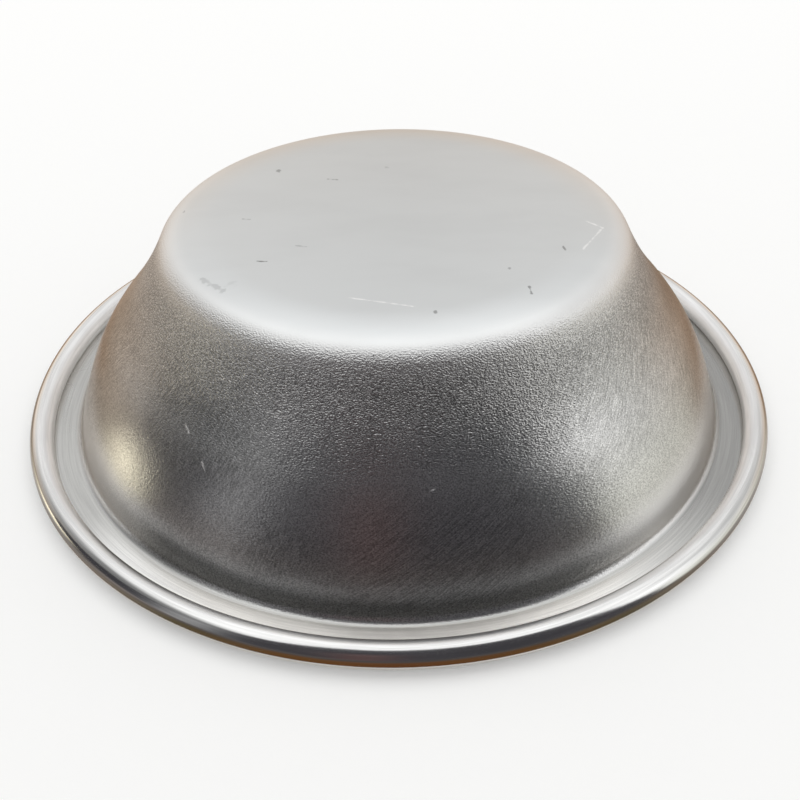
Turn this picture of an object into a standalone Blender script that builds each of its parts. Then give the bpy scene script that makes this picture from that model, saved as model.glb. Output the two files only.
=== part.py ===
# Egg tart mould: one disc of aluminium sheet, drawn into a shallow round cup with a
# flat base, a wall that is hollow in its upper half and full in its lower one, a narrow
# flat ledge and an edge that is curled back over it.
# It is modelled mouth down, resting on its rim. +Z points up out of the base,
# and the origin is the centre of the mouth, in the plane that the rim rests on.
# Lengths are in metres.

import math

import bmesh
import bpy

# Driving dimensions
RIM_DIAMETER = 0.070          # across the outside of the curled edge
HEIGHT = 0.0190               # from the plane that the rim rests on to the outside of the base
SHEET = 0.0005                # thickness of the aluminium, the same all over
BASE_DIAMETER = 0.0383        # outside of the base, to where its rounded corner begins
BASE_CORNER_RADIUS = 0.00245  # outside radius between base and wall
SHOULDER_WIDTH = 0.0036       # outer band of the base, which already falls away a little
SHOULDER_RADIUS = 0.019       # radius of that band's fall
WAIST_RADIUS = 0.0357         # outside radius of the hollow upper half of the wall
BELLY_RADIUS = 0.0209         # outside radius of the full lower half
FOOT_RADIUS = 0.0008          # outside radius in the hollow between wall and ledge
CURL_DIAMETER = 0.00215       # across the curled edge, outside to outside
CURL_SLIT = 0.00012           # left open between the raw edge of the curl and the ledge

# Angles of the outside normal above the level, where one part of the wall meets the next
CORNER_END = math.radians(27.3)
WAIST_END = math.radians(40.9)
BELLY_END = math.radians(12.8)

# Fineness of the turned surface
TURN_STEPS = 80
SHOULDER_STEPS = 2
CORNER_STEPS = 4
WAIST_STEPS = 3
BELLY_STEPS = 5
FOOT_STEPS = 3
CURL_STEPS = 8

ALUMINIUM_COLOUR = (0.80, 0.80, 0.79, 1.0)
ALUMINIUM_ROUGHNESS = 0.38

QUARTER_TURN = math.radians(90)
HALF_TURN = math.radians(180)
FULL_TURN = math.radians(360)
MERGE_DISTANCE = 0.00001


def clear_scene():
    for item in list(bpy.data.objects):
        bpy.data.objects.remove(item)


def arc(centre, radius, start, end, steps):
    """Points (r, z) along a circle, from the start angle to the end angle, ends included."""
    angles = [start + (end - start) * step / steps for step in range(steps + 1)]
    return [(centre[0] + radius * math.cos(a), centre[1] + radius * math.sin(a)) for a in angles]


def beyond(point, angle, distance):
    """The point that lies at a distance from another one, towards an angle."""
    return (point[0] + distance * math.cos(angle), point[1] + distance * math.sin(angle))


def base_outline():
    """Outside of the base: flat from the axis, then its falling shoulder."""
    flat_radius = BASE_DIAMETER / 2 - SHOULDER_WIDTH
    centre = (flat_radius, HEIGHT - SHOULDER_RADIUS)
    fall = math.asin(SHOULDER_WIDTH / SHOULDER_RADIUS)
    shoulder = arc(centre, SHOULDER_RADIUS, QUARTER_TURN, QUARTER_TURN - fall, SHOULDER_STEPS)
    return [(0.0, HEIGHT)] + shoulder, QUARTER_TURN - fall


def wall_outline(base_edge, base_normal):
    """Outside of the wall, from its rounded corner to the ledge, every arc tangent to the last."""
    corner_centre = beyond(base_edge, base_normal, -BASE_CORNER_RADIUS)
    corner = arc(corner_centre, BASE_CORNER_RADIUS, base_normal, CORNER_END, CORNER_STEPS)
    waist_centre = beyond(corner[-1], CORNER_END, WAIST_RADIUS)
    waist = arc(waist_centre, WAIST_RADIUS, CORNER_END + HALF_TURN, WAIST_END + HALF_TURN, WAIST_STEPS)
    belly_centre = beyond(waist[-1], WAIST_END, -BELLY_RADIUS)
    belly = arc(belly_centre, BELLY_RADIUS, WAIST_END, BELLY_END, BELLY_STEPS)
    # a straight collar leads from the belly down to the foot
    collar_bottom = SHEET + FOOT_RADIUS * (1 - math.sin(BELLY_END))
    collar_drop = belly[-1][1] - collar_bottom
    collar_end = (belly[-1][0] + collar_drop * math.tan(BELLY_END), collar_bottom)
    foot_centre = beyond(collar_end, BELLY_END, FOOT_RADIUS)
    foot = arc(foot_centre, FOOT_RADIUS, BELLY_END + HALF_TURN, HALF_TURN + QUARTER_TURN, FOOT_STEPS)
    return corner[1:] + waist[1:] + belly[1:] + foot


def curl_outline(curl_centre):
    """Inside of the curled edge, from the ledge out, up and back over to the raw edge."""
    curl_radius = CURL_DIAMETER / 2
    drop = math.asin((curl_radius - SHEET - CURL_SLIT) / curl_radius)
    return arc(curl_centre, curl_radius - SHEET, -QUARTER_TURN, HALF_TURN + drop, CURL_STEPS)


def outline():
    """The sheet's upper face as points (r, z), from the axis out to its raw edge."""
    curl_centre = (RIM_DIAMETER / 2 - CURL_DIAMETER / 2, CURL_DIAMETER / 2)
    base, base_normal = base_outline()
    return base + wall_outline(base[-1], base_normal) + curl_outline(curl_centre)


def aluminium():
    material = bpy.data.materials.new("plain_aluminium")
    material.use_nodes = True
    surface = material.node_tree.nodes["Principled BSDF"]
    surface.inputs["Base Color"].default_value = ALUMINIUM_COLOUR
    surface.inputs["Metallic"].default_value = 1.0
    surface.inputs["Roughness"].default_value = ALUMINIUM_ROUGHNESS
    return material


def turned_sheet(name, points, material, collection):
    """A sheet turned about Z from its upper face, with its thickness below that face."""
    shape = bmesh.new()
    corners = [shape.verts.new((radius, 0.0, height)) for radius, height in points]
    for first, second in zip(corners, corners[1:]):
        shape.edges.new((first, second))
    mesh = bpy.data.meshes.new(name)
    shape.to_mesh(mesh)
    shape.free()
    mesh.materials.append(material)

    body = bpy.data.objects.new(name, mesh)
    collection.objects.link(body)
    turn = body.modifiers.new("turned", "SCREW")
    turn.axis = "Z"
    turn.angle = FULL_TURN
    turn.steps = TURN_STEPS
    turn.render_steps = TURN_STEPS
    turn.use_merge_vertices = True
    turn.merge_threshold = MERGE_DISTANCE
    turn.use_smooth_shade = True
    wall = body.modifiers.new("sheet_thickness", "SOLIDIFY")
    wall.thickness = SHEET
    wall.offset = -1.0
    wall.use_even_offset = True
    wall.use_quality_normals = True
    return body


def build():
    clear_scene()
    collection = bpy.data.collections.new("egg_tart_mould")
    bpy.context.scene.collection.children.link(collection)
    turned_sheet("mould_shell", outline(), aluminium(), collection)


build()
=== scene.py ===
import math

import bpy
import numpy as np
from mathutils import Matrix, Vector


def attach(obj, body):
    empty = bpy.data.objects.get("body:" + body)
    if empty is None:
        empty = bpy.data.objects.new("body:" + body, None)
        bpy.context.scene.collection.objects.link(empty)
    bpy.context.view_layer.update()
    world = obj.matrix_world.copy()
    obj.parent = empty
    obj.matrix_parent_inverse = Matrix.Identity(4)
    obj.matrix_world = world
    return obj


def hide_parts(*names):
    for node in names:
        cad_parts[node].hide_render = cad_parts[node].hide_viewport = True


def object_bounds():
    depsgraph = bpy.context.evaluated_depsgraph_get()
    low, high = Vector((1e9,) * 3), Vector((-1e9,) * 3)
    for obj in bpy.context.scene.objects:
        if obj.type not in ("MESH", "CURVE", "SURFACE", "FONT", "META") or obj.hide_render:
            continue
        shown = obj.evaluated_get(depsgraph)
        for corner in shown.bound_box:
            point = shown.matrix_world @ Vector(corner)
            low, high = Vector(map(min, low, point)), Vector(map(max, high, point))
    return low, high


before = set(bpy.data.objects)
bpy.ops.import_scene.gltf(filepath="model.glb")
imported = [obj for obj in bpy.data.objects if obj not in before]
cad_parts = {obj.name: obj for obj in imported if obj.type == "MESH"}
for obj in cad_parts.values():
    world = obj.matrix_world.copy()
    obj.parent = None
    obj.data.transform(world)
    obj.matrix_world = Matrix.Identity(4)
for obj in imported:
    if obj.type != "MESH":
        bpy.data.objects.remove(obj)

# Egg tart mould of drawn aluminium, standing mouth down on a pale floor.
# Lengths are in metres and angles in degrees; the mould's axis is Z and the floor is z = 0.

cadLow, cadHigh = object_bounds()
millimetre = 0.001
print("frame loaded")


# Small helpers

def smooth(value, low, high):
    # 0 below low, 1 above high and 3t^2 - 2t^3 between them
    t = np.clip((value - low) / (high - low), 0.0, 1.0)
    return t * t * (3.0 - 2.0 * t)


def bell(value, middle, width):
    # exp(-((value - middle) / width)^2)
    return np.exp(-(((value - middle) / width) ** 2))


def meshObject(name, points, faces, smoothShaded=True):
    # a mesh of these points and faces, as an object in the scene
    mesh = bpy.data.meshes.new(name)
    mesh.from_pydata(points.tolist(), [], faces)
    mesh.polygons.foreach_set("use_smooth", [smoothShaded] * len(mesh.polygons))
    mesh.update()
    piece = bpy.data.objects.new(name, mesh)
    bpy.context.scene.collection.objects.link(piece)
    return piece


def pointData(mesh, name, kind, values):
    # one value of this kind at each point, kept under this name
    field = {"FLOAT": "value", "FLOAT_VECTOR": "vector", "FLOAT_COLOR": "color"}[kind]
    layer = mesh.attributes.new(name, kind, "POINT")
    layer.data.foreach_set(field, np.asarray(values, dtype=np.float32).ravel())


def gridQuads(rows, columns):
    # faces (i, j), (i, j + 1), (i + 1, j + 1), (i + 1, j) of a grid of points counted row by row
    row = np.arange(rows - 1)[:, None] * columns
    column = np.arange(columns - 1)
    below = row + columns
    quads = np.stack([row + column, row + column + 1, below + column + 1, below + column], axis=-1)
    return quads.reshape(-1, 4).tolist()


# The shell: the model's own outline with finer steps, turned about Z

shell = {
    "sheet": 0.0005,             # thickness, the same all over
    "baseDiameter": 0.0383,      # to where the rounded corner of the base begins
    "cornerRadius": 0.00245,     # between base and wall
    "shoulderWidth": 0.0036,     # outer band of the base, which falls away a little
    "shoulderRadius": 0.019,
    "cornerEnd": 27.3,           # the normal's angle above level where the corner ends,
    "waistRadius": 0.0357,       # in the hollow upper half of the wall,
    "waistEnd": 40.9,            # where that half ends,
    "bellyRadius": 0.0209,       # in the full lower half,
    "bellyEnd": 12.8,            # and where that ends, with a straight collar under it
    "footRadius": 0.0008,        # hollow between collar and ledge
    "curlDiameter": 0.00215,     # rolled edge, outside to outside
    "curlSlit": 0.00002,         # between the raw edge of the roll and the ledge
    "turnSteps": 384,
    "baseSteps": 16,
    "shoulderSteps": 9,
    "cornerSteps": 14,
    "waistSteps": 16,
    "bellySteps": 20,
    "footSteps": 14,
    "ledgeSteps": 5,
    "curlSteps": 32,
    "edgeRounding": 0.00012,     # of the raw edge
    "rimFlat": 0.00022,          # the rim is pressed in by this much on its left
    "rimFlatMiddle": 183.0,
    "rimFlatWidth": 24.0,
    "rimOval": 0.00005,          # the rest of the rim is out of round by this much
    "rimOvalTurn": 0.9,
    "rimPower": 3,               # how soon the rim's unevenness fades inwards
    # slow unevenness of the drawn wall: waves round it, twist by height, phase and share
    "wallWaves": 0.00003,
    "wallForms": [(3.0, 0.0, 1.3, 1.0), (5.0, 260.0, 0.4, 1.0), (11.0, -420.0, 2.2, 0.6)],
    # the rim doesn't touch the floor all the way round
    "rimWaves": 0.00003,
    "rimForms": [(2.0, 0.0, 0.5, 0.6), (7.0, 0.0, 0.0, 0.4)],
    # the raw edge is ragged: fine waves and their phase, slow waves and their phase, and share
    "edgeRagged": 0.000012,
    "edgeForms": [(61.0, 0.0, 23.0, 1.0, 1.0), (117.0, 2.0, 9.0, 0.0, 0.6)],
    "front": (214.0, 228.0, 298.0, 318.0),   # the angles between which the front sets in and ends
    "foldAfter": 0.0005,         # the fold of wall and ledge lies this far past the collar's end
    # where each mask sets in or ends along the sheet: from a mark plus a length to a mark plus a length
    "fades": {
        "unevenWall": ("cornerStart", 0.0, "wallStart", 0.0040),
        "evenFoot": ("collarEnd", -0.0030, "ledgeStart", 0.0),
        "unevenRim": ("collarEnd", 0.0, "rollStart", 0.0),
        "unevenEdge": ("edge", -0.0008, "edge", 0.0),
        "toWall": ("cornerStart", -0.0010, "wallStart", 0.0),
        "toLedge": ("fold", 0.0001, "fold", 0.0006),
        "toRoll": ("rollStart", 0.0, "rollStart", 0.0003),
        "hollowEnd": ("ledgeStart", -0.0003, "ledgeStart", 0.0005),
        "seam": ("rollStart", -0.0005, "rollStart", -0.0001),
        "tuck": ("rollStart", 0.0016, "rollStart", 0.00205),
        "frontRollShade": ("rollStart", 0.0021, "rollStart", 0.0023),
        "peel": ("cornerStart", 0.0002, "cornerStart", 0.0022),
        "peelEnd": ("wallStart", 0.0010, "wallStart", 0.0100),
        "shaded": ("cornerStart", 0.0012, "wallStart", 0.0018),
        "lighterSideFoot": ("collarEnd", -0.0045, "collarEnd", -0.0015),
        "drawn": ("wallStart", 0.0, "wallStart", 0.0040),
        "drawnEnd": ("fold", -0.0010, "fold", 0.0),
        "stretch": ("cornerStart", -0.0004, "cornerStart", 0.0010),
        "stretchEnd": ("wallStart", 0.0010, "wallStart", 0.0080),
    },
    "peelLoss": 0.75,            # the share of the peel that is gone from the lower wall
    "frontSeamLoss": 0.35,       # the share of the seam's painted lightening that is gone in front
}


def arc(centre, radius, start, end, steps, outwards=1):
    # (r, z, normal angle) at centre + radius * (cos a, sin a), a from start to end;
    # the normal points away from the centre, or to it where outwards is -1
    a = np.linspace(start, end, steps + 1)
    turned = a if outwards > 0 else a + math.pi
    return np.stack([centre[0] + radius * np.cos(a), centre[1] + radius * np.sin(a), turned], axis=1)


def towards(angle):
    # the unit vector (cos a, sin a)
    return np.array([math.cos(angle), math.sin(angle)])


def upperFace(s):
    # The sheet's upper face as rows of (r, z, normal angle), from the axis to the raw edge
    rimRadius = cadHigh.x
    height = cadHigh.z - cadLow.z
    quarter = math.pi / 2.0
    curlRadius = s["curlDiameter"] / 2.0
    curlCentre = np.array([rimRadius - curlRadius, curlRadius])
    flatRadius = s["baseDiameter"] / 2.0 - s["shoulderWidth"]

    flat = np.stack([
        np.linspace(0.0, flatRadius, s["baseSteps"] + 1),
        np.full(s["baseSteps"] + 1, height),
        np.full(s["baseSteps"] + 1, quarter),
    ], axis=1)
    fall = math.asin(s["shoulderWidth"] / s["shoulderRadius"])
    shoulder = arc((flatRadius, height - s["shoulderRadius"]), s["shoulderRadius"],
                   quarter, quarter - fall, s["shoulderSteps"])
    # each arc starts where the last one ended, with the same normal
    cornerEnd = math.radians(s["cornerEnd"])
    waistEnd = math.radians(s["waistEnd"])
    bellyEnd = math.radians(s["bellyEnd"])
    cornerCentre = shoulder[-1, :2] - s["cornerRadius"] * towards(quarter - fall)
    corner = arc(cornerCentre, s["cornerRadius"], quarter - fall, cornerEnd, s["cornerSteps"])
    waistCentre = corner[-1, :2] + s["waistRadius"] * towards(cornerEnd)
    waist = arc(waistCentre, s["waistRadius"], cornerEnd + math.pi, waistEnd + math.pi, s["waistSteps"], -1)
    bellyCentre = waist[-1, :2] - s["bellyRadius"] * towards(waistEnd)
    belly = arc(bellyCentre, s["bellyRadius"], waistEnd, bellyEnd, s["bellySteps"])
    collarEnd = s["sheet"] + s["footRadius"] * (1.0 - math.sin(bellyEnd))
    collarDrop = belly[-1, 1] - collarEnd
    collarFoot = np.array([belly[-1, 0] + collarDrop * math.tan(bellyEnd), collarEnd])
    footCentre = collarFoot + s["footRadius"] * towards(bellyEnd)
    foot = arc(footCentre, s["footRadius"], bellyEnd + math.pi, 3.0 * quarter, s["footSteps"], -1)
    for part in (waist, foot):
        part[:, 2] -= 2.0 * math.pi
    ledge = np.stack([
        np.linspace(footCentre[0], curlCentre[0], s["ledgeSteps"] + 1),
        np.full(s["ledgeSteps"] + 1, s["sheet"]),
        np.full(s["ledgeSteps"] + 1, quarter),
    ], axis=1)
    overturn = math.asin((curlRadius - s["sheet"] - s["curlSlit"]) / curlRadius)
    curl = arc(curlCentre, curlRadius - s["sheet"], -quarter, math.pi + overturn, s["curlSteps"], -1)

    parts = [flat, shoulder[1:], corner[1:], waist[1:], belly[1:], foot, ledge[1:], curl[1:]]
    marks = np.cumsum([len(part) for part in parts]) - 1    # last row of each part
    names = ("flat", "shoulder", "corner", "waist", "wall", "foot", "ledge", "curl")
    return np.concatenate(parts), dict(zip(names, marks))


def shellRows(s):
    # Rows of (r, z): out along the upper face, round the raw edge and back along the lower
    # one, which lies the sheet's thickness below along the normals. Each row's run is the
    # way along the upper face from the axis.
    face, marks = upperFace(s)
    run = np.concatenate([[0.0], np.cumsum(np.hypot(*np.diff(face[:, :2], axis=0).T))])
    normal = np.stack([np.cos(face[:, 2]), np.sin(face[:, 2])], axis=1)
    upper = face[:, :2]
    lower = upper - s["sheet"] * normal
    tip = upper[-1] - upper[-2]
    tip = tip / np.hypot(*tip)
    depth = np.array([0.0, 0.14, 0.5, 0.86, 1.0])    # through the thickness
    bulge = np.array([0.0, 0.8, 1.0, 0.8, 0.0])      # of the rounded raw edge
    edge = (upper[-1] - s["sheet"] * depth[:, None] * normal[-1]
            + s["edgeRounding"] * bulge[:, None] * tip)
    rows = np.concatenate([upper, edge[1:-1], lower[::-1]])
    runs = np.concatenate([run, np.full(3, run[-1]), run[::-1]])
    return rows, runs, run, marks


def waveSum(forms, angle, z):
    # the sum of share * sin(waves * angle + twist * z + phase)
    return sum(share * np.sin(waves * angle + twist * z + phase) for waves, twist, phase, share in forms)


def unevenness(s, angle, r, z, onRim, onWall, onEdge):
    # Small departures from the round, all inwards or upwards:
    # radial = -(flat bell + oval (1 + cos(2a + turn)) / 2) (r / rim)^3 - waves on the wall,
    # upwards = slow waves round the rim, and a ragged raw edge
    degrees = np.degrees(angle) % 360.0
    share = np.clip(r / cadHigh.x, 0.0, 1.0) ** s["rimPower"]
    pressed = s["rimFlat"] * bell(degrees, s["rimFlatMiddle"], s["rimFlatWidth"])
    oval = s["rimOval"] * (1.0 + np.cos(2.0 * angle + s["rimOvalTurn"])) / 2.0
    most = sum(form[-1] for form in s["wallForms"])
    waves = s["wallWaves"] * (waveSum(s["wallForms"], angle, z) - most)
    radial = -(pressed + oval) * share + waves * onWall
    lift = s["rimWaves"] * (1.0 + waveSum(s["rimForms"], angle, z)) / 2.0 * onRim
    ragged = sum(part * np.sin(fine * angle + fineTurn) * np.sin(slow * angle + slowTurn)
                 for fine, fineTurn, slow, slowTurn, part in s["edgeForms"])
    return radial, lift + s["edgeRagged"] * ragged * onEdge


def buildShell(s):
    # The rows turned about Z: point = (r cos a, r sin a, z), with a pole at each end of the rows
    rows, runs, run, marks = shellRows(s)
    count = s["turnSteps"]
    at = {
        "cornerStart": run[marks["shoulder"]],
        "wallStart": run[marks["corner"]],
        "collarEnd": run[marks["wall"]],
        "fold": run[marks["wall"]] + s["foldAfter"],
        "ledgeStart": run[marks["foot"]],
        "rollStart": run[marks["ledge"]],
        "edge": run[-1],
    }

    # ring points, without the two rows on the axis
    ringR, ringZ, ringRun = rows[1:-1, 0], rows[1:-1, 1], runs[1:-1]
    ringCount = len(ringR)
    angle = np.arange(count) * (2.0 * math.pi / count)
    r, a = np.meshgrid(ringR, angle, indexing="ij")
    z = np.repeat(ringZ[:, None], count, axis=1)

    def fade(name):
        # 0 before the fade's first place along the sheet and 1 after its second, for each ring
        first, firstMore, second, secondMore = s["fades"][name]
        return smooth(ringRun, at[first] + firstMore, at[second] + secondMore)[:, None]

    onWall = fade("unevenWall") * (1.0 - fade("evenFoot"))
    radial, lift = unevenness(s, a, r, z, fade("unevenRim"), onWall, fade("unevenEdge"))
    r = r + radial
    z = z + lift + cadLow.z
    points = np.stack([r * np.cos(a), r * np.sin(a), z], axis=-1).reshape(-1, 3)
    topPole = [[0.0, 0.0, rows[0, 1] + cadLow.z]]
    bottomPole = [[0.0, 0.0, rows[-1, 1] + cadLow.z]]
    points = np.concatenate([points, topPole, bottomPole])

    column = np.arange(count)
    following = (column + 1) % count
    row = np.arange(ringCount - 1)[:, None] * count
    below = row + count
    quads = np.stack([row + column, below + column, below + following, row + following], axis=-1)
    topIndex = ringCount * count
    topFan = np.stack([np.full(count, topIndex), column, following], axis=-1)
    last = (ringCount - 1) * count
    bottomFan = np.stack([np.full(count, topIndex + 1), last + following, last + column], axis=-1)
    faces = quads.reshape(-1, 4).tolist() + topFan.tolist() + bottomFan.tolist()
    piece = meshObject("mouldShell", points, faces)
    mesh = piece.data

    # Masks that the materials read; front is 1 over the front of the mould
    turnedTo = np.degrees(a)
    frontFrom, frontFull, frontUntil, frontEnd = s["front"]
    front = smooth(turnedTo, frontFrom, frontFull) * (1.0 - smooth(turnedTo, frontUntil, frontEnd))
    onLedge = fade("toLedge")
    onRoll = fade("toRoll")
    tuck = fade("tuck")
    ledge = onLedge * (1.0 - onRoll)
    hollow = onLedge * (1.0 - fade("hollowEnd"))
    seam = fade("seam") * (1.0 - onRoll) + tuck
    masks = {
        "wall": fade("toWall") * (1.0 - onLedge),
        "ledge": ledge,
        "bead": onRoll,
        "tuck": tuck,                                            # the roll's side towards the ledge
        # hollow and frontLedge hold the painted shade and the painted highlight of the ledge in front
        "hollow": hollow * front,
        "frontLedge": ledge * (1.0 - hollow) * front,
        "seam": seam * (1.0 - s["frontSeamLoss"] * front),       # where ledge and roll meet, painted lighter against the crevice's shade
        # painted shade: in front, the roll's side towards the wall is darkened so that the collar mirrors
        # it dark
        "frontRollShade": fade("frontRollShade") * front,
        "peel": fade("peel") * (1.0 - fade("peelEnd") * s["peelLoss"]) * (1.0 - onLedge),
        # at the sides the foot is painted lighter: the wall's darkening is left off it there
        "shaded": fade("shaded") * (1.0 - onLedge) * (1.0 - fade("lighterSideFoot") * (1.0 - front)),
        "drawn": fade("drawn") * (1.0 - fade("drawnEnd")),
        "stretch": fade("stretch") * (1.0 - fade("stretchEnd")),
    }
    for name, values in masks.items():
        grid = np.broadcast_to(values, (ringCount, count)).ravel()
        pointData(mesh, name, "FLOAT", np.concatenate([grid, [0.0, 0.0]]))

    # A place on the sheet as if it were a drum: the base is its end, and the wall stands on its edge
    drum = np.minimum(ringR, rows[marks["shoulder"], 0])[:, None]
    down = np.maximum(ringRun - at["cornerStart"], 0.0)[:, None]
    place = np.stack([drum * np.cos(a), drum * np.sin(a), down + 0.0 * a], axis=-1)
    place = np.concatenate([place.reshape(-1, 3), np.zeros((2, 3))])
    pointData(mesh, "sheetPlace", "FLOAT_VECTOR", place)

    # The lower face, from the axis to where the roll begins, is the pastry side
    quadRow = np.repeat(np.arange(ringCount - 1), count)
    faceRow = np.concatenate([quadRow, np.zeros(count), np.full(count, ringCount)])
    underRoll = 2 * len(run) + 1 - marks["ledge"]    # the ring below the ledge's last row
    mesh.polygons.foreach_set("material_index", (faceRow >= underRoll).astype(np.int32))
    return piece


mould = buildShell(shell)
print("shell", len(mould.data.polygons), "faces")


# Node helpers

black = (0.0, 0.0, 0.0, 1.0)
white = (1.0, 1.0, 1.0, 1.0)


def addNode(tree, kind, values=None, **settings):
    # a node of this kind, with settings on the node itself and values on its sockets
    node = tree.nodes.new(kind)
    for key, value in settings.items():
        setattr(node, key, value)
    for key, value in (values or {}).items():
        node.inputs[key].default_value = value
    return node


def feed(tree, value, socket):
    # a number or a colour sits on the socket, and another node's output is linked to it
    if isinstance(value, (int, float, tuple)):
        socket.default_value = value
    else:
        tree.links.new(value, socket)


def newGroup(name, inputs, outputs):
    # inputs: {name: (socket type, default)}, outputs: {name: socket type}
    group = bpy.data.node_groups.new(name, "ShaderNodeTree")
    for label, (kind, default) in inputs.items():
        socket = group.interface.new_socket(label, in_out="INPUT", socket_type=kind)
        if default is not None:
            socket.default_value = default
    for label, kind in outputs.items():
        group.interface.new_socket(label, in_out="OUTPUT", socket_type=kind)
    start = group.nodes.new("NodeGroupInput")
    end = group.nodes.new("NodeGroupOutput")
    return group, start, end


def mathNode(tree, operation, *values, clamp=False):
    # the operation on one to three numbers or outputs
    node = addNode(tree, "ShaderNodeMath", operation=operation, use_clamp=clamp)
    for value, socket in zip(values, node.inputs):
        feed(tree, value, socket)
    return node.outputs[0]


def product(tree, *values):
    # all the values times each other
    total = values[0]
    for value in values[1:]:
        total = mathNode(tree, "MULTIPLY", total, value)
    return total


def ramp(tree, value, low, high, start=0.0, end=1.0):
    # start below low, end above high, smooth between them
    limits = {"From Min": low, "From Max": high, "To Min": start, "To Max": end}
    node = addNode(tree, "ShaderNodeMapRange", limits, interpolation_type="SMOOTHSTEP")
    tree.links.new(value, node.inputs["Value"])
    return node.outputs["Result"]


def mixColour(tree, factor, first, second):
    # first + (second - first) * factor
    node = addNode(tree, "ShaderNodeMix", data_type="RGBA")
    feed(tree, factor, node.inputs["Factor"])
    feed(tree, first, node.inputs[6])
    feed(tree, second, node.inputs[7])
    return node.outputs[2]


def noise(tree, place, scale, detail=2.0, roughness=0.5, distortion=0.0):
    # cloudy values round 0.5, so many to the metre
    settings = {"Detail": detail, "Roughness": roughness, "Distortion": distortion}
    node = addNode(tree, "ShaderNodeTexNoise", settings)
    tree.links.new(place, node.inputs["Vector"])
    feed(tree, scale, node.inputs["Scale"])
    return node.outputs["Fac"]


def stretched(tree, place, scale):
    # the place times the scale, axis by axis
    node = addNode(tree, "ShaderNodeMapping", {"Scale": scale})
    tree.links.new(place, node.inputs["Vector"])
    return node.outputs["Vector"]


def attribute(tree, name):
    # the number that buildShell kept at each point under this name
    node = addNode(tree, "ShaderNodeAttribute", attribute_name=name, attribute_type="GEOMETRY")
    return node.outputs["Fac"]


def sheetPlace(tree):
    # the place on the sheet, rolled out as a drum
    node = addNode(tree, "ShaderNodeAttribute", attribute_name="sheetPlace", attribute_type="GEOMETRY")
    return node.outputs["Vector"]


# Node groups: effects of the drawn sheet, each with its own place and amounts

grains = {
    "peelStretch": (0.90, 0.90, 1.15),
    "peelDistortion": 0.2,
    "pebbleScale": 0.45,             # of the coarser bumps, against the grain's
    "pebbleShare": 0.20,
    "cavityRange": (0.40, 0.80),     # heights between which the hollows end
    "lineStretch": (1.0, 1.0, 0.15),
    "patchScale": 90.0,
    "patchRange": (0.42, 0.62),
    "rolledStretch": (0.02, 1.0, 0.02),
    "turnedStretch": (0.03, 0.03, 1.0),
    "lineRoughness": 0.6,
    "wobbleScale": 1800.0,           # breaks up the edge of a scratch
    "wobbleRange": (0.35, 0.65, -0.2, 0.5),
    "scratchRange": (0.25, 1.0),
}


def orangePeel(p):
    # coarse grain of the stretched metal: bumps + share * coarser pebbles; Cavity is 0 in the hollows
    group, start, end = newGroup("orangePeel", {
        "Place": ("NodeSocketVector", None), "Grain": ("NodeSocketFloat", 8000.0),
    }, {"Height": "NodeSocketFloat", "Cavity": "NodeSocketFloat"})
    place = start.outputs["Place"]
    long = stretched(group, place, p["peelStretch"])
    bumps = noise(group, long, start.outputs["Grain"], 0.0, 0.5, p["peelDistortion"])
    pebble = noise(group, place, product(group, start.outputs["Grain"], p["pebbleScale"]), 1.0)
    height = mathNode(group, "MULTIPLY_ADD", pebble, p["pebbleShare"], bumps)
    group.links.new(height, end.inputs["Height"])
    group.links.new(ramp(group, height, *p["cavityRange"]), end.inputs["Cavity"])
    return group


def drawLines(p):
    # fine lines left by the die, slanting round the wall; Mask is 1 in patches where they show
    group, start, end = newGroup("drawLines", {
        "Place": ("NodeSocketVector", None), "Slant": ("NodeSocketFloat", 48.0),
        "Fineness": ("NodeSocketFloat", 8200.0),
    }, {"Height": "NodeSocketFloat", "Mask": "NodeSocketFloat"})
    # turning the place about Z in step with its height makes the lines helices
    parts = addNode(group, "ShaderNodeSeparateXYZ")
    group.links.new(start.outputs["Place"], parts.inputs[0])
    turn = product(group, parts.outputs["Z"], start.outputs["Slant"])
    twist = addNode(group, "ShaderNodeVectorRotate", rotation_type="Z_AXIS")
    group.links.new(start.outputs["Place"], twist.inputs["Vector"])
    group.links.new(turn, twist.inputs["Angle"])
    long = stretched(group, twist.outputs["Vector"], p["lineStretch"])
    fine = noise(group, long, start.outputs["Fineness"], 2.0, p["lineRoughness"])
    patch = noise(group, start.outputs["Place"], p["patchScale"])
    group.links.new(fine, end.inputs["Height"])
    group.links.new(ramp(group, patch, *p["patchRange"]), end.inputs["Mask"])
    return group


def rollingGrain(p):
    # faint parallel lines from the rolling mill, straight across the sheet
    group, start, end = newGroup("rollingGrain", {
        "Place": ("NodeSocketVector", None), "Fineness": ("NodeSocketFloat", 5200.0),
    }, {"Height": "NodeSocketFloat"})
    long = stretched(group, start.outputs["Place"], p["rolledStretch"])
    lines = noise(group, long, start.outputs["Fineness"], 2.0, p["lineRoughness"])
    group.links.new(lines, end.inputs["Height"])
    return group


def turnedLines(p):
    # fine streaks round the ledge and the roll
    group, start, end = newGroup("turnedLines", {
        "Place": ("NodeSocketVector", None), "Fineness": ("NodeSocketFloat", 8000.0),
    }, {"Height": "NodeSocketFloat"})
    long = stretched(group, start.outputs["Place"], p["turnedStretch"])
    lines = noise(group, long, start.outputs["Fineness"], 2.0, p["lineRoughness"])
    group.links.new(lines, end.inputs["Height"])
    return group


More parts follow.
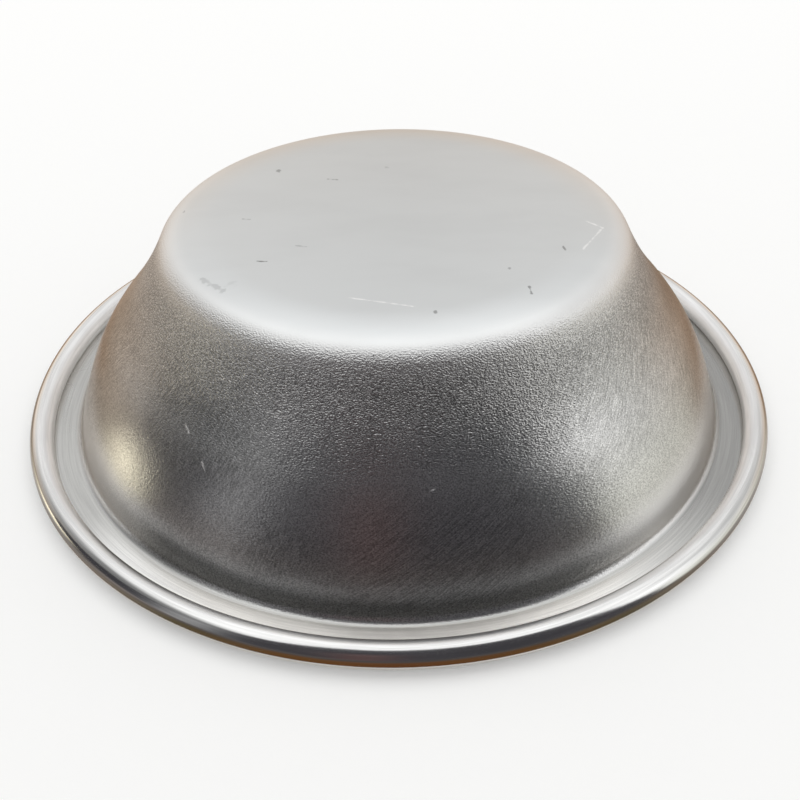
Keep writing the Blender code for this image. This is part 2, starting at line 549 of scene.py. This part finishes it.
def handlingMarks():
    # sparse round pits; Mask is 1 in a pit, which a share of the cells have
    group, start, end = newGroup("handlingMarks", {
        "Place": ("NodeSocketVector", None), "Spacing": ("NodeSocketFloat", 260.0),
        "Size": ("NodeSocketFloat", 0.05), "Share": ("NodeSocketFloat", 0.22),
    }, {"Mask": "NodeSocketFloat"})
    cells = addNode(group, "ShaderNodeTexVoronoi", feature="F1")
    group.links.new(start.outputs["Place"], cells.inputs["Vector"])
    group.links.new(start.outputs["Spacing"], cells.inputs["Scale"])
    tone = addNode(group, "ShaderNodeSeparateColor")
    group.links.new(cells.outputs["Color"], tone.inputs[0])
    chosen = mathNode(group, "LESS_THAN", tone.outputs[0], start.outputs["Share"])
    size = product(group, start.outputs["Size"], tone.outputs[1])
    near = mathNode(group, "LESS_THAN", cells.outputs["Distance"], size)
    group.links.new(product(group, chosen, near), end.inputs["Mask"])
    return group


def scratch(p):
    # a mark from one place to another: 1 on the line between them, 0 at Width from it, and broken up
    group, start, end = newGroup("scratch", {
        "Place": ("NodeSocketVector", None), "From": ("NodeSocketVector", None),
        "To": ("NodeSocketVector", None), "Width": ("NodeSocketFloat", 0.0001),
    }, {"Mask": "NodeSocketFloat"})

    def vector(operation, first, second):
        # the operation on two vectors
        node = addNode(group, "ShaderNodeVectorMath", operation=operation)
        group.links.new(first, node.inputs[0])
        group.links.new(second, node.inputs[1])
        return node

    wobble = addNode(group, "ShaderNodeTexNoise", {"Scale": p["wobbleScale"], "Detail": 1.0})
    group.links.new(start.outputs["Place"], wobble.inputs["Vector"])
    way = vector("SUBTRACT", start.outputs["To"], start.outputs["From"]).outputs["Vector"]
    gone = vector("SUBTRACT", start.outputs["Place"], start.outputs["From"]).outputs["Vector"]
    along = vector("DOT_PRODUCT", gone, way).outputs["Value"]
    whole = vector("DOT_PRODUCT", way, way).outputs["Value"]
    share = mathNode(group, "DIVIDE", along, whole, clamp=True)
    reached = addNode(group, "ShaderNodeVectorMath", operation="SCALE")
    group.links.new(way, reached.inputs[0])
    group.links.new(share, reached.inputs["Scale"])
    apart = vector("DISTANCE", gone, reached.outputs["Vector"]).outputs["Value"]
    ratio = mathNode(group, "DIVIDE", apart, start.outputs["Width"])
    ratio = mathNode(group, "ADD", ratio, ramp(group, wobble.outputs["Fac"], *p["wobbleRange"]))
    group.links.new(ramp(group, ratio, *p["scratchRange"], 1.0, 0.0), end.inputs["Mask"])
    return group


peelGroup = orangePeel(grains)
lineGroup = drawLines(grains)
grainGroup = rollingGrain(grains)
turnedGroup = turnedLines(grains)
markGroup = handlingMarks()
scratchGroup = scratch(grains)


def placed(tree, group, place, **values):
    # the group as a node at this place, with values on its sockets
    node = addNode(tree, "ShaderNodeGroup", node_tree=group)
    tree.links.new(place, node.inputs["Place"])
    for key, value in values.items():
        node.inputs[key].default_value = value
    return node


# Materials

outside = {
    "baseColour": (0.800, 0.820, 0.824, 1.0),
    "wallColour": (1.0, 0.998, 0.99, 1.0),
    "ledgeColour": (0.63, 0.63, 0.615, 1.0),
    # in front the ledge is painted lighter, a painted highlight, and its hollow darker, a painted shade
    "frontLedge": (1.0, 1.0, 0.98, 1.0),
    "hollowColour": (0.56, 0.56, 0.54, 1.0),
    "beadColour": (0.92, 0.92, 0.91, 1.0),
    "baseRoughness": 0.272,
    "wallRoughness": 0.275,
    "ledgeRoughness": 0.25,
    "tuckRoughness": 0.26,      # added on the roll's side towards the ledge
    "beadRoughness": 0.15,
    "stretchRoughness": 0.20,   # added where the sheet is stretched most
    # a warm tint of the reflection at grazing angles: a painted brownish reflection at the edges
    "grazingTint": (0.93, 0.87, 0.81, 1.0),
    "frontRollShadeColour": (0.12, 0.12, 0.12, 1.0),    # painted shade in front, on the roll's side towards the wall
    "rightLedgeDarkening": (0.0132, 0.0165, 0.0, 0.30),     # on the right the ledge darkens from one x to the next
    "peelDepth": 0.000070,
    "lineDepth": 0.000009,
    "grainDepth": 0.0000020,
    "turnedDepth": 0.0000030,
    "cavityShade": 0.42,        # how much darker the hollows of the peel are, a painted shade
    # how much darker lines, speckle and turned lines are, and the heights between which they fade
    "lineShade": 0.36,
    "lineRange": (0.35, 0.65),
    "speckleShade": 0.38,
    "speckleRange": (0.36, 0.62),
    "speckleFineness": 11500.0,
    "turnedShade": 0.15,
    "turnedRange": (0.30, 0.70),
    "slant": (12.0, 48.0),      # turn of the lines by length of wall, on the left and on the right
    "slantChange": (-0.007, 0.0),
    "cloudStretch": (0.4, 1.0, 1.0),
    "cloudScale": 190.0,
    "cloudRange": (0.35, 0.70, 0.0, 0.035),
    "cloudRoughness": 0.04,     # added in the clouds
    "pitShade": 0.25,
    "darkMark": (0.12, 0.12, 0.12, 1.0),
    "markRoughness": 0.40,      # added in light marks
    # marks of use, by place on the sheet: from, to and half width in millimetres, and strength
    "darkMarks": [
        ((-10.9, 9.3, 0.0), (-10.9, 8.9, 0.0), 0.26, 0.5),
        ((-6.1, 7.2, 0.0), (-5.3, 7.0, 0.0), 0.17, 0.4),
        ((-0.7, 9.5, 0.0), (-0.6, 9.4, 0.0), 0.24, 0.2),
        ((-13.3, -0.5, 0.0), (-12.6, -0.6, 0.0), 0.14, 0.35),
        ((-18.8, 1.9, 0.0), (-18.8, 1.6, 0.0), 0.22, 0.35),
        ((-11.3, -7.9, 0.0), (-10.5, -8.0, 0.0), 0.13, 0.75),
        ((-8.3, -5.4, 0.0), (-7.4, -5.6, 0.0), 0.14, 0.3),
        ((14.0, -6.3, 0.0), (14.1, -7.0, 0.0), 0.15, 0.55),
        ((9.2, -9.7, 0.0), (9.2, -9.9, 0.0), 0.18, 0.4),
        ((3.0, -15.9, 0.0), (3.0, -16.1, 0.0), 0.18, 0.55),
        ((10.5, -12.6, 0.0), (10.6, -13.5, 0.0), 0.17, 0.6),
        ((-15.6, -10.2, 0.0), (-13.6, -12.1, 0.0), 0.42, 0.22),
        ((-13.1, -11.3, 0.0), (-12.9, -11.3, 0.0), 0.50, 0.10),
    ],
    "lightMarks": [
        ((-3.6, -13.8, 0.0), (1.3, -15.2, 0.0), 0.11, 0.8),
        ((16.6, -1.9, 0.0), (17.9, -2.9, 0.0), 0.14, 0.8),
        ((17.9, -2.9, 0.0), (15.6, -6.8, 0.0), 0.13, 0.7),
        ((-12.7, -14.3, 10.0), (-12.3, -14.7, 10.6), 0.16, 0.9),
        ((-11.0, -15.7, 12.1), (-10.6, -15.9, 12.8), 0.11, 0.9),
        ((-8.0, -17.4, 6.7), (-7.3, -17.7, 6.9), 0.12, 0.7),
        ((-7.3, -17.7, 6.9), (-6.6, -18.0, 6.5), 0.11, 0.6),
        ((1.7, -19.1, 11.5), (2.1, -19.0, 11.3), 0.13, 0.9),
    ],
}


def marked(tree, place, marks):
    # the greatest of strength * mask of all these marks
    total = 0.0
    for start, end, width, strength in marks:
        ends = {"From": [v * millimetre for v in start], "To": [v * millimetre for v in end]}
        node = placed(tree, scratchGroup, place, **ends, Width=width * millimetre)
        total = mathNode(tree, "MAXIMUM", product(tree, node.outputs["Mask"], strength), total)
    return total


def bumpy(tree, surface, height):
    # height is in metres along the normal
    bump = addNode(tree, "ShaderNodeBump", {"Strength": 1.0, "Distance": 1.0})
    tree.links.new(height, bump.inputs["Height"])
    tree.links.new(bump.outputs["Normal"], surface.inputs["Normal"])


def outsideMaterial(p):
    # Bare aluminium: the colours and roughness of base, wall, ledge and roll, mixed by their
    # masks, darkened in hollows, lines and marks, with all the grains added up as a bump
    material = bpy.data.materials.new("drawnAluminium")
    material.use_nodes = True
    tree = material.node_tree
    surface = tree.nodes["Principled BSDF"]
    surface.inputs["Metallic"].default_value = 1.0
    # the warm grazing tint paints a brownish reflection at the edges
    surface.inputs["Specular Tint"].default_value = p["grazingTint"]

    place = sheetPlace(tree)
    wall = attribute(tree, "wall")
    ledge = attribute(tree, "ledge")
    bead = attribute(tree, "bead")
    peelAmount = attribute(tree, "peel")
    lineAmount = attribute(tree, "drawn")
    shaded = attribute(tree, "shaded")
    onLedge = mathNode(tree, "ADD", ledge, bead)
    across = addNode(tree, "ShaderNodeSeparateXYZ")
    tree.links.new(place, across.inputs[0])

    # colour of the four zones
    # in front the ledge's hollow is painted darker and the rest of the ledge lighter: painted shade and
    # painted highlight
    ledgeColour = mixColour(tree, attribute(tree, "hollow"), p["ledgeColour"], p["hollowColour"])
    colour = mixColour(tree, wall, p["baseColour"], p["wallColour"])
    colour = mixColour(tree, ledge, colour, ledgeColour)
    colour = mixColour(tree, attribute(tree, "frontLedge"), colour, p["frontLedge"])
    colour = mixColour(tree, bead, colour, p["beadColour"])
    # painted light: where ledge and roll meet, the colour goes to white against the crevice's shade
    colour = mixColour(tree, attribute(tree, "seam"), colour, white)

    # darker in clouds, in the hollows of the peel (a painted shade), in the lines and in a fine speckle
    cloudy = noise(tree, stretched(tree, place, p["cloudStretch"]), p["cloudScale"], 3.0, 0.55)
    peel = placed(tree, peelGroup, place)
    hollow = ramp(tree, peel.outputs["Cavity"], 0.0, 1.0, p["cavityShade"], 0.0)
    leftLines = placed(tree, lineGroup, place, Slant=p["slant"][0])
    rightLines = placed(tree, lineGroup, place, Slant=p["slant"][1])
    lines = addNode(tree, "ShaderNodeMix", data_type="FLOAT")
    tree.links.new(ramp(tree, across.outputs["X"], *p["slantChange"]), lines.inputs["Factor"])
    tree.links.new(leftLines.outputs["Height"], lines.inputs[2])
    tree.links.new(rightLines.outputs["Height"], lines.inputs[3])
    groove = ramp(tree, lines.outputs[0], *p["lineRange"], p["lineShade"], 0.0)
    speckle = noise(tree, place, p["speckleFineness"], 1.0, 0.6)
    speckle = ramp(tree, speckle, *p["speckleRange"], p["speckleShade"], 0.0)
    turned = placed(tree, turnedGroup, place).outputs["Height"]
    streak = ramp(tree, turned, *p["turnedRange"], p["turnedShade"], 0.0)
    shades = [
        ramp(tree, cloudy, *p["cloudRange"]),
        product(tree, hollow, peelAmount, shaded),
        product(tree, groove, lineAmount, rightLines.outputs["Mask"], shaded),
        product(tree, speckle, shaded),
        product(tree, streak, onLedge),
    ]
    for shade in shades:
        colour = mixColour(tree, shade, colour, black)

    # painted shade on the roll in front, the ledge darker on the right, and marks of use
    colour = mixColour(tree, attribute(tree, "frontRollShade"), colour, p["frontRollShadeColour"])
    # the ledge is darker towards the right
    darkening = ramp(tree, across.outputs["X"], *p["rightLedgeDarkening"])
    colour = mixColour(tree, product(tree, darkening, ledge), colour, black)
    pits = placed(tree, markGroup, place).outputs["Mask"]
    pits = product(tree, pits, p["pitShade"])
    dark = mathNode(tree, "MAXIMUM", marked(tree, place, p["darkMarks"]), pits)
    bright = marked(tree, place, p["lightMarks"])
    colour = mixColour(tree, dark, colour, p["darkMark"])
    colour = mixColour(tree, bright, colour, white)
    tree.links.new(colour, surface.inputs["Base Color"])

    # roughness: the base's, plus each zone's difference times its mask
    base = p["baseRoughness"]
    rough = base
    for amount, more in [
        (wall, p["wallRoughness"] - base),
        (ledge, p["ledgeRoughness"] - base),
        (bead, p["beadRoughness"] - base),
        (attribute(tree, "stretch"), p["stretchRoughness"]),
        (attribute(tree, "tuck"), p["tuckRoughness"]),
        (cloudy, p["cloudRoughness"]),
        (bright, p["markRoughness"]),
    ]:
        rough = mathNode(tree, "MULTIPLY_ADD", amount, more, rough)
    tree.links.new(rough, surface.inputs["Roughness"])

    # bump: peel on the corner and the wall, slanting lines on the wall, straight grain on
    # the base, and turned lines on ledge and roll
    grain = placed(tree, grainGroup, place).outputs["Height"]
    peelHeight = product(tree, peel.outputs["Height"], peelAmount, p["peelDepth"])
    lineHeight = product(tree, lines.outputs[0], lineAmount, p["lineDepth"])
    grainHeight = product(tree, grain, p["grainDepth"])
    turnedHeight = product(tree, turned, onLedge, p["turnedDepth"])
    wallHeight = mathNode(tree, "ADD", peelHeight, lineHeight)
    flatHeight = mathNode(tree, "ADD", grainHeight, turnedHeight)
    bumpy(tree, surface, mathNode(tree, "ADD", wallHeight, flatHeight))
    return material


pastry = {
    "colour": (0.80, 0.80, 0.79, 1.0),
    "cloudColour": (0.72, 0.715, 0.70, 1.0),
    "cloudScale": 140.0,
    "cloudRange": (0.35, 0.70),
    "cloudRoughness": 0.08,      # added in the clouds
    "roughness": 0.32,
    "peelDepth": 0.000008,
    "grainDepth": 0.0000015,
}


def pastryMaterial(p):
    # The inside: one colour mixed with another in clouds, and the peel and grain as a bump
    material = bpy.data.materials.new("pastrySideAluminium")
    material.use_nodes = True
    tree = material.node_tree
    surface = tree.nodes["Principled BSDF"]
    surface.inputs["Metallic"].default_value = 1.0
    place = sheetPlace(tree)
    cloudy = noise(tree, place, p["cloudScale"], 3.0, 0.55)
    colour = mixColour(tree, ramp(tree, cloudy, *p["cloudRange"]), p["colour"], p["cloudColour"])
    rough = mathNode(tree, "MULTIPLY_ADD", cloudy, p["cloudRoughness"], p["roughness"])
    tree.links.new(colour, surface.inputs["Base Color"])
    tree.links.new(rough, surface.inputs["Roughness"])
    peel = placed(tree, peelGroup, place).outputs["Height"]
    peelHeight = product(tree, peel, attribute(tree, "wall"), p["peelDepth"])
    grain = placed(tree, grainGroup, place).outputs["Height"]
    bumpy(tree, surface, mathNode(tree, "MULTIPLY_ADD", grain, p["grainDepth"], peelHeight))
    return material


mould.data.materials.append(outsideMaterial(outside))
mould.data.materials.append(pastryMaterial(pastry))
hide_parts("mould_shell")
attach(mould, "root")
print("materials made")


# Floor, cards, light and camera

floor = {
    "size": 8.0,
    "colour": (0.90, 0.90, 0.895, 1.0),
    "roughness": 0.9,
    "gloss": 0.1,
    "extraWhite": 0.10,      # a glow that only the camera, reflections and glass see
}


def buildFloor(p):
    # one square face at z = 0
    half = p["size"] / 2.0
    corners = np.array([[-half, -half, 0.0], [half, -half, 0.0], [half, half, 0.0], [-half, half, 0.0]])
    piece = meshObject("floor", corners, [[0, 1, 2, 3]], False)
    material = bpy.data.materials.new("paleFloor")
    material.use_nodes = True
    tree = material.node_tree
    surface = tree.nodes["Principled BSDF"]
    surface.inputs["Base Color"].default_value = p["colour"]
    surface.inputs["Roughness"].default_value = p["roughness"]
    surface.inputs["Specular IOR Level"].default_value = p["gloss"]
    path = addNode(tree, "ShaderNodeLightPath")
    seen = mathNode(tree, "MAXIMUM", path.outputs["Is Camera Ray"], path.outputs["Is Glossy Ray"])
    seen = mathNode(tree, "MAXIMUM", seen, path.outputs["Is Transmission Ray"])
    glow = addNode(tree, "ShaderNodeEmission")
    tree.links.new(product(tree, seen, p["extraWhite"]), glow.inputs["Strength"])
    total = addNode(tree, "ShaderNodeAddShader")
    tree.links.new(surface.outputs[0], total.inputs[0])
    tree.links.new(glow.outputs[0], total.inputs[1])
    tree.links.new(total.outputs[0], tree.nodes["Material Output"].inputs["Surface"])
    piece.data.materials.append(material)
    return piece


buildFloor(floor)

tent = {
    "radius": 0.30,
    "steps": 240,
    "floorSteps": 70,
    "domeSteps": 60,
    "innerRadius": 0.0352,
    "height": 0.0004,
    # tones by bearing (0 is the front, 90 the right and -90 the left), on the tent and the table
    "bearings": [-180, -150, -130, -115, -105, -95, -85, -75, -60, 44,
                 52, 64, 75, 90, 105, 120, 135, 150, 180],
    "low": [0.68, 0.82, 0.82, 0.52, 0.33, 0.24, 0.20, 0.18, 0.26, 0.12,
            0.18, 0.92, 0.94, 0.74, 0.62, 0.62, 0.68, 0.78, 0.68],
    "lit": [0.45, 0.45, 0.42, 0.37, 0.34, 0.27, 0.20, 0.20, 0.20, 0.64,
            0.68, 0.68, 0.66, 0.62, 0.57, 0.42, 0.33, 0.38, 0.45],
    "warmth": [1.0, 1.0, 1.0, 1.0, 1.0, 1.0, 0.8, 0.6, 0.5, 0.0,
               0.0, 0.0, 0.0, 0.0, 0.4, 1.2, 1.6, 1.3, 1.0],
    "lowWarmth": 0.5,        # the share of the tint that is left low on the tent
    "tintEnd": (8.0, 30.0),  # elevations between which it fades
    "horizon": (0.0, 6.0),   # elevations between which the table's tone turns into the tent's
    "coolTint": (1.03, 1.03, 0.94),
    "warmTint": (1.21, 0.99, 0.79),
    # the shadow in front: its far edge over x, and its tones by bearing
    "edgeX": [-0.300, -0.100, -0.032, 0.0, 0.025, 0.050, 0.083, 0.104, 0.300],
    "edgeY": [-0.030, -0.0215, -0.0205, -0.023, -0.027, -0.0375, -0.0540, -0.0630, -0.150],
    "edgeBlur": 0.003,
    "shadeBearings": [-90, -70, -58, -46, -34, -20, 0, 20, 36, 52],
    "shadeTones": [0.11, 0.085, 0.105, 0.21, 0.11, 0.085, 0.078, 0.066, 0.072, 0.10],
    "shadeTint": (1.08, 0.96, 0.92),
    # the bright patch on the left
    "patch": (1.45, 1.34, 1.04),
    "patchX": [-0.300, -0.100, -0.086, -0.070, -0.056, -0.044, -0.038, -0.032],
    "patchY": [-0.0240, -0.0080, -0.0084, -0.0098, -0.0122, -0.0142, -0.0160, -0.0175],
    "patchWidth": [0.0300, 0.0100, 0.0092, 0.0078, 0.0068, 0.0068, 0.0066, 0.0060],
    "patchTone": [1.60, 2.10, 2.10, 1.70, 1.04, 1.00, 0.85, 0.70],
    "patchNear": (0.0362, 0.0400),     # it fades out towards the rim
    # the patch reaches up the tent a little, and a panel is high on the right: bearing, width
    # and tone, and the elevations between which they set in and end
    "patchRise": (-96.0, 6.0, 0.15),
    "patchRiseEnd": (3.0, 12.0),
    "panel": (72.0, 15.0, 0.40),
    "panelStart": (20.0, 34.0),
    "panelEnd": (48.0, 64.0),
    "above": 1.12,
    "aboveFrom": (38.0, 60.0),         # elevations between which the tent turns from low to above
    # brown on the table behind: how far out it reaches, by bearing
    "brown": (0.335, 0.215, 0.128),
    "brownBearings": [-180, -105, -95, 80, 90, 95, 103, 110, 118, 180],
    "brownReach": [0.045, 0.045, 0.020, 0.030, 0.038, 0.042, 0.050, 0.060, 0.070, 0.080],
    "brownFade": [0.014, 0.014, 0.014, 0.016, 0.020, 0.024, 0.028, 0.030, 0.030, 0.030],
    "brownShare": [1.0, 1.0, 1.0, 0.72, 0.70, 0.70, 0.72, 0.76, 0.80, 0.85],
    # the table just outside the rim, by bearing either way
    "rimReach": (0.0013, 0.0053),
    "rimWidth": [1.0, 1.0, 1.0, 1.0, 1.0, 0.50, 0.38, 0.38],
    "rimTurns": [0, 15, 30, 45, 60, 75, 90, 180],
    "rimRed": [0.120, 0.130, 0.105, 0.200, 0.310, 0.600, 0.660, 0.620],
    "rimGreen": [0.049, 0.063, 0.084, 0.170, 0.300, 0.585, 0.640, 0.590],
    "rimBlue": [0.019, 0.024, 0.050, 0.145, 0.290, 0.575, 0.620, 0.560],
}


def bearingGrid(bearing, radius, height):
    # points (radius * sin b, -radius * cos b, height), radius and height going together
    rr, bb = np.meshgrid(radius, bearing, indexing="ij")
    hh = np.repeat(height[:, None], len(bearing), axis=1)
    points = np.stack([rr * np.sin(bb), -rr * np.cos(bb), hh], axis=-1).reshape(-1, 3)
    return points, gridQuads(len(radius), len(bearing)), rr, bb


def reflectionOnly(piece, tone):
    # gives the piece its tones as a glow that only reflections see
    opaque = np.ones(tone.shape[:2] + (1,))
    pointData(piece.data, "tone", "FLOAT_COLOR", np.concatenate([tone, opaque], axis=-1))
    material = bpy.data.materials.new(piece.name + "Tone")
    material.use_nodes = True
    material.cycles.emission_sampling = "NONE"
    tree = material.node_tree
    tree.nodes.remove(tree.nodes["Principled BSDF"])
    glow = addNode(tree, "ShaderNodeEmission")
    source = addNode(tree, "ShaderNodeAttribute", attribute_name="tone", attribute_type="GEOMETRY")
    tree.links.new(source.outputs["Color"], glow.inputs["Color"])
    tree.links.new(glow.outputs[0], tree.nodes["Material Output"].inputs["Surface"])
    piece.data.materials.append(material)
    piece.visible_camera = False
    piece.visible_diffuse = False
    piece.visible_transmission = False
    piece.visible_volume_scatter = False
    piece.visible_shadow = False


def buildTent(p):
    # A light tent: the table out to the tent's radius, then a half sphere over it. Its tone is
    # built layer over layer, each time under + (top - under) * share
    bearing = np.radians(np.linspace(-180.0, 180.0, p["steps"] + 1))
    fan = np.geomspace(p["innerRadius"], p["radius"], p["floorSteps"] + 1)
    rise = np.radians(np.linspace(0.0, 90.0, p["domeSteps"] + 1))[1:]
    radius = np.concatenate([fan, p["radius"] * np.cos(rise)])
    height = p["height"] + np.concatenate([np.zeros(len(fan)), p["radius"] * np.sin(rise)])
    points, faces, rr, bb = bearingGrid(bearing, radius, height)
    piece = meshObject("lightTent", points, faces)
    degrees = np.degrees(bb)
    up = np.degrees(np.concatenate([np.zeros(len(fan)), rise]))[:, None] + 0.0 * bb
    x = rr * np.sin(bb)
    y = -rr * np.cos(bb)

    def over(under, top, share):
        # one tone laid over another by its share
        return under + (top - under) * share[..., None]

    def read(at, places, values):
        # the values at these places, with straight lines between them
        return np.interp(at, p[places], p[values])

    def toned(colour, share):
        # the named colour times its tone at each point
        return np.array(p[colour]) * share[..., None]

    # the table: lit, with the bright patch, shaded in front, and brown farther in
    warmth = read(degrees, "bearings", "warmth")
    tint = over(np.array(p["coolTint"]), np.array(p["warmTint"]), warmth)
    table = read(degrees, "bearings", "lit")[..., None] * tint
    patch = bell(y, read(x, "patchX", "patchY"), read(x, "patchX", "patchWidth")) * (x < 0.0)
    patch = patch * smooth(rr, *p["patchNear"])
    table = over(table, toned("patch", read(x, "patchX", "patchTone")), patch)
    shaded = 1.0 - smooth(y - read(x, "edgeX", "edgeY"), -p["edgeBlur"], p["edgeBlur"])
    table = over(table, toned("shadeTint", read(degrees, "shadeBearings", "shadeTones")), shaded)
    reach = read(degrees, "brownBearings", "brownReach")
    close = 1.0 - smooth(rr, reach, reach + read(degrees, "brownBearings", "brownFade"))
    table = over(table, toned("brown", read(degrees, "brownBearings", "brownShare")), close)

    # the table just outside the rim
    turned = np.abs(degrees)
    rim = np.stack([read(turned, "rimTurns", key) for key in ("rimRed", "rimGreen", "rimBlue")], axis=-1)
    outwards = (rr - p["innerRadius"]) / read(turned, "rimTurns", "rimWidth")
    table = over(table, rim, 1.0 - smooth(outwards, *p["rimReach"]))

    # the tent: low, with the patch's rise and the panel, and then above
    lowTint = 1.0 + (tint - 1.0) * p["lowWarmth"] * (1.0 - smooth(up, *p["tintEnd"]))[..., None]
    low = read(degrees, "bearings", "low")[..., None] * lowTint
    riseBearing, riseWidth, riseTone = p["patchRise"]
    risen = bell(degrees, riseBearing, riseWidth) * (1.0 - smooth(up, *p["patchRiseEnd"]))
    panelBearing, panelWidth, panelTone = p["panel"]
    high = smooth(up, *p["panelStart"]) * (1.0 - smooth(up, *p["panelEnd"]))
    panel = bell(degrees, panelBearing, panelWidth) * high
    low = low + (riseTone * risen + panelTone * panel)[..., None]
    tone = over(table, low, smooth(up, *p["horizon"]))
    reflectionOnly(piece, over(tone, p["above"], smooth(up, *p["aboveFrom"])))


buildTent(tent)

hood = {
    "radius": 0.095,
    "liftedBy": 0.0006,      # above the table
    "left": -88.0,
    "right": 52.0,
    "rightLow": 57.5,        # near the table
    "rightFade": (0.10, 0.50),
    "top": 61.0,             # at the front, falling to the sides
    "topFall": 17.0,         # lower by this much at this bearing
    "topFallAt": 72.0,
    "leftDrop": 24.0,        # and by this much more on the left
    "leftDropFade": (20.0, 45.0),
    "steps": 136,
    "riseSteps": 60,
    "dark": (0.056, 0.054, 0.060),
    "topTone": 0.07,
    "topFade": (40.0, 64.0),
    "leftTone": 0.052,
    "leftFade": (50.0, 74.0),
    "warmBearing": -8.0,     # a faint warm band in front
    "warmWidth": 7.0,
    "warmTone": (0.058, 0.018, 0.010),
    "warmEnd": (24.0, 40.0),
    "stripBearing": -47.0,   # a paler strip on the left
    "stripWidth": 7.8,
    "stripTone": 0.27,
    "stripEnd": (22.0, 40.0),
}


def buildHood(p):
    # The dark hood round the camera, part of a sphere that stands on the table: point =
    # radius * (sin b cos e, -cos b cos e, sin e) for bearing b and elevation e
    share = np.linspace(0.0, 1.0, p["riseSteps"] + 1)
    up, across = np.meshgrid(share, np.linspace(0.0, 1.0, p["steps"] + 1), indexing="ij")
    rightEdge = p["right"] + (p["rightLow"] - p["right"]) * (1.0 - smooth(up, *p["rightFade"]))
    degrees = p["left"] + (rightEdge - p["left"]) * across
    top = p["top"] - p["topFall"] * (degrees / p["topFallAt"]) ** 2
    top = top - p["leftDrop"] * smooth(-degrees, *p["leftDropFade"])
    rise = up * top
    b = np.radians(degrees)
    e = np.radians(rise)
    points = p["radius"] * np.stack([np.sin(b) * np.cos(e), -np.cos(b) * np.cos(e), np.sin(e)], axis=-1)
    points = points.reshape(-1, 3) + np.array([0.0, 0.0, p["liftedBy"]])
    piece = meshObject("darkHood", points, gridQuads(p["riseSteps"] + 1, p["steps"] + 1))
    warm = bell(degrees, p["warmBearing"], p["warmWidth"]) * (1.0 - smooth(rise, *p["warmEnd"]))
    strip = bell(degrees, p["stripBearing"], p["stripWidth"]) * (1.0 - smooth(rise, *p["stripEnd"]))
    grey = p["topTone"] * smooth(rise, *p["topFade"]) + p["stripTone"] * strip
    grey = grey + (p["leftTone"] - p["dark"][0]) * smooth(-degrees, *p["leftFade"])
    tone = np.array(p["dark"]) + grey[..., None] + np.array(p["warmTone"]) * warm[..., None]
    reflectionOnly(piece, tone)


buildHood(hood)

light = {
    "worldTone": (0.72, 0.72, 0.715, 1.0),
    "width": 1.9,
    "depth": 0.9,
    "middle": (0.0, 0.40, 0.80),
    "power": 4.0,
}


def buildLight(p):
    # an even pale room and one wide lamp, above and behind the mould, which shines straight down
    world = bpy.data.worlds.new("paleRoom")
    world.use_nodes = True
    world.node_tree.nodes["Background"].inputs["Color"].default_value = p["worldTone"]
    world.cycles.sampling_method = "NONE"     # so that the hood shades the metal fully
    bpy.context.scene.world = world
    lamp = bpy.data.lights.new("overheadSoftbox", "AREA")
    lamp.shape = "RECTANGLE"
    lamp.size = p["width"]
    lamp.size_y = p["depth"]
    lamp.energy = p["power"]
    holder = bpy.data.objects.new("overheadSoftbox", lamp)
    holder.location = p["middle"]
    holder.visible_glossy = False             # the metal sees the tent instead
    bpy.context.scene.collection.objects.link(holder)


buildLight(light)

view = {
    "distance": 0.10431,
    "elevation": 36.753,
    "roll": -0.985,
    "lens": 47.52,
    "sensor": 36.0,
    "shiftX": 0.0036,
    "shiftY": -0.0166,
    "clip": (0.002, 50.0),
}


def buildCamera(p):
    # at distance * (0, -cos e, sin e), looking at the origin, rolled about its own axis
    camera = bpy.data.cameras.new("camera")
    camera.sensor_width = p["sensor"]
    camera.lens = p["lens"]
    camera.shift_x = p["shiftX"]
    camera.shift_y = p["shiftY"]
    camera.clip_start, camera.clip_end = p["clip"]
    holder = bpy.data.objects.new("camera", camera)
    bpy.context.scene.collection.objects.link(holder)
    rise = math.radians(p["elevation"])
    place = Vector((0.0, -p["distance"] * math.cos(rise), p["distance"] * math.sin(rise)))
    tilt = Matrix.Rotation(math.radians(90.0) - rise, 4, "X")
    roll = Matrix.Rotation(math.radians(p["roll"]), 4, "Z")
    holder.matrix_world = Matrix.Translation(place) @ tilt @ roll
    bpy.context.scene.camera = holder


buildCamera(view)
bpy.context.scene.view_settings.view_transform = "Standard"
print("floor, light and camera placed")
